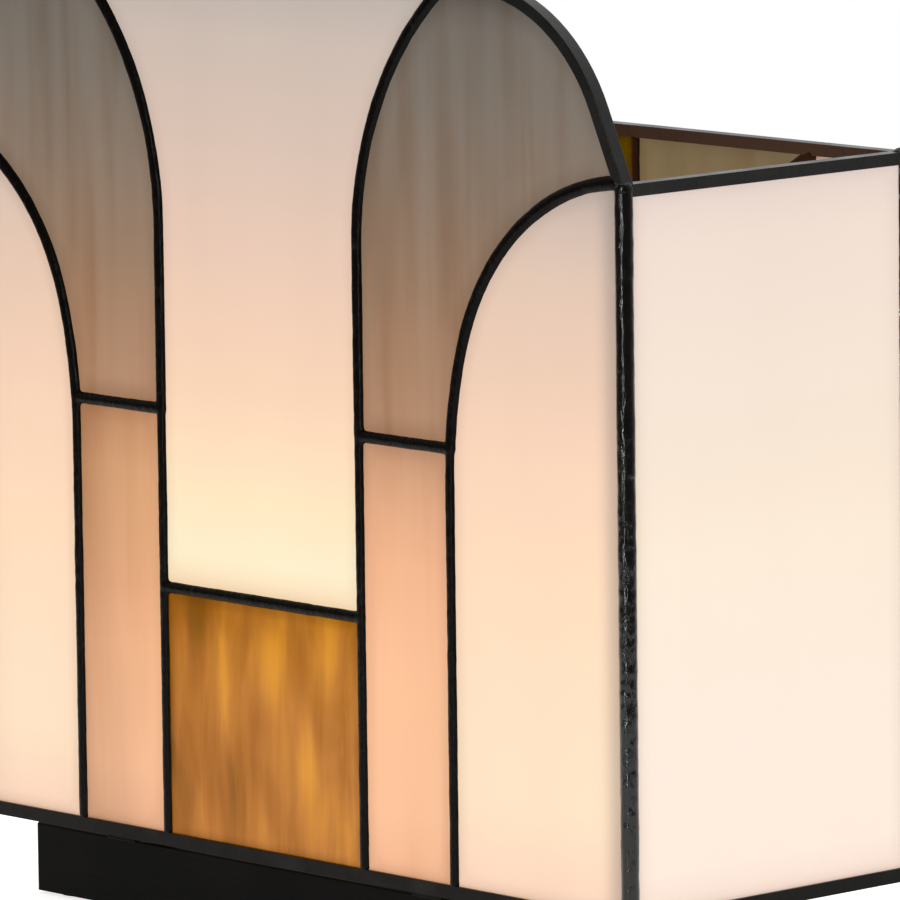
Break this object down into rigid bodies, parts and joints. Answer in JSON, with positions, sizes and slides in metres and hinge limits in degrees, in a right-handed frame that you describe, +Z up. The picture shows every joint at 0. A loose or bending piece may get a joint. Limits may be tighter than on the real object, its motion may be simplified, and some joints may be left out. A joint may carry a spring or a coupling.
{
  "type": "stained glass table lamp",
  "caption": "Table lamp with a long box shade of soldered opal, grey, peach and amber glass on a low black plinth; the shade lifts off and the bulb screws out.",
  "frame": {"origin": "on the table, under the middle of the lamp", "axes": "+X along the width, to the right when facing the patterned front; +Y from the front to the back; +Z up"},
  "size_m": [0.3468, 0.128, 0.3244],
  "materials": {
    "opal_glass": "milky white opal art glass, fire polished",
    "amber_glass": "streaky amber cathedral glass",
    "peach_glass": "peach opalescent glass with faint streaks",
    "grey_glass": "warm grey wispy glass with upright streaks",
    "beige_glass": "beige wispy glass",
    "black_solder": "tin solder with a black patina, soft shine",
    "black_channel": "metal channel with a black patina, satin",
    "black_lacquer": "black lacquer, matte",
    "cover_steel": "black powder coat",
    "steel_screws": "zinc plated",
    "pad_rubber": "soft black rubber",
    "grommet_rubber": "black rubber",
    "zinc_steel": "zinc plated",
    "nut_brass": "knurled, aged",
    "holder_black": "moulded black thermoset",
    "porcelain": "white porcelain",
    "contact_brass": "bright",
    "contact_solder": "soft solder",
    "insulator_glass": "black vitrite",
    "cap_nickel": "plain aluminium",
    "bulb_opal": "opal, lit"
  },
  "bodies": {
    "base": {"bottom_cover": "cover_steel", "cable_grommet": "grommet_rubber", "cover_screws": "steel_screws", "foot_pad_back_left": "pad_rubber", "foot_pad_back_right": "pad_rubber", "foot_pad_front_left": "pad_rubber", "foot_pad_front_right": "pad_rubber", "holder_body": "holder_black", "holder_cap": "holder_black", "holder_contact": "contact_brass", "holder_insert": "porcelain", "holder_sleeve": "contact_brass", "plinth": "black_lacquer", "shade_stud_left": "zinc_steel", "shade_stud_right": "zinc_steel", "stud_lock_nuts": "zinc_steel", "threaded_tube": "zinc_steel", "tube_nut": "zinc_steel", "tube_washer": "zinc_steel"},
    "shade": {"back_amber_glass": "amber_glass", "back_beige_glass_left": "beige_glass", "back_beige_glass_right": "beige_glass", "back_centre_glass": "opal_glass", "back_lead_lines": "black_solder", "back_opal_glass_left": "opal_glass", "back_opal_glass_right": "opal_glass", "bottom_rail_back": "black_channel", "bottom_rail_front": "black_channel", "bottom_rail_left": "black_channel", "bottom_rail_right": "black_channel", "corner_bead_back_left": "black_solder", "corner_bead_back_right": "black_solder", "corner_bead_front_left": "black_solder", "corner_bead_front_right": "black_solder", "cross_strap_left": "black_channel", "cross_strap_right": "black_channel", "front_amber_glass": "amber_glass", "front_centre_glass": "opal_glass", "front_grey_glass_left": "grey_glass", "front_grey_glass_right": "grey_glass", "front_lead_lines": "black_solder", "front_opal_glass_left": "opal_glass", "front_opal_glass_right": "opal_glass", "front_peach_glass_left": "peach_glass", "front_peach_glass_right": "peach_glass", "front_rim": "black_channel", "side_opal_glass_left": "opal_glass", "side_opal_glass_right": "opal_glass", "top_rail_back": "black_channel", "top_rail_left": "black_channel", "top_rail_right": "black_channel"},
    "knurled_nut_left": {"shade_nut_left": "nut_brass"},
    "knurled_nut_right": {"shade_nut_right": "nut_brass"},
    "bulb_end": {"bulb_contact": "contact_solder"},
    "bulb": {"bulb_cap": "cap_nickel", "bulb_glass": "bulb_opal", "bulb_insulator": "insulator_glass"}
  },
  "joints": [
    {"name": "shade_lift", "type": "slide", "parent": "base", "child": "shade", "axis": [0, 0, 1], "range_m": [0, 0.25]},
    {"name": "nut_spin_left", "type": "hinge", "parent": "shade", "child": "knurled_nut_left", "pos_m": [-0.075, 0, 0.033], "axis": [0, 0, 1], "continuous": true},
    {"name": "nut_spin_right", "type": "hinge", "parent": "shade", "child": "knurled_nut_right", "pos_m": [0.075, 0, 0.033], "axis": [0, 0, 1], "continuous": true},
    {"name": "bulb_rise", "type": "slide", "parent": "base", "child": "bulb_end", "axis": [0, 0, 1], "range_m": [0, 0.0254]},
    {"name": "bulb_turn", "type": "hinge", "parent": "bulb_end", "child": "bulb", "pos_m": [0, 0, 0.07], "axis": [0, 0, 1], "range_deg": [0, 2520]}
  ],
  "couplings": [
    {"joint": "bulb_rise", "follows": "bulb_turn", "m_per_rad": 0.000576}
  ]
}
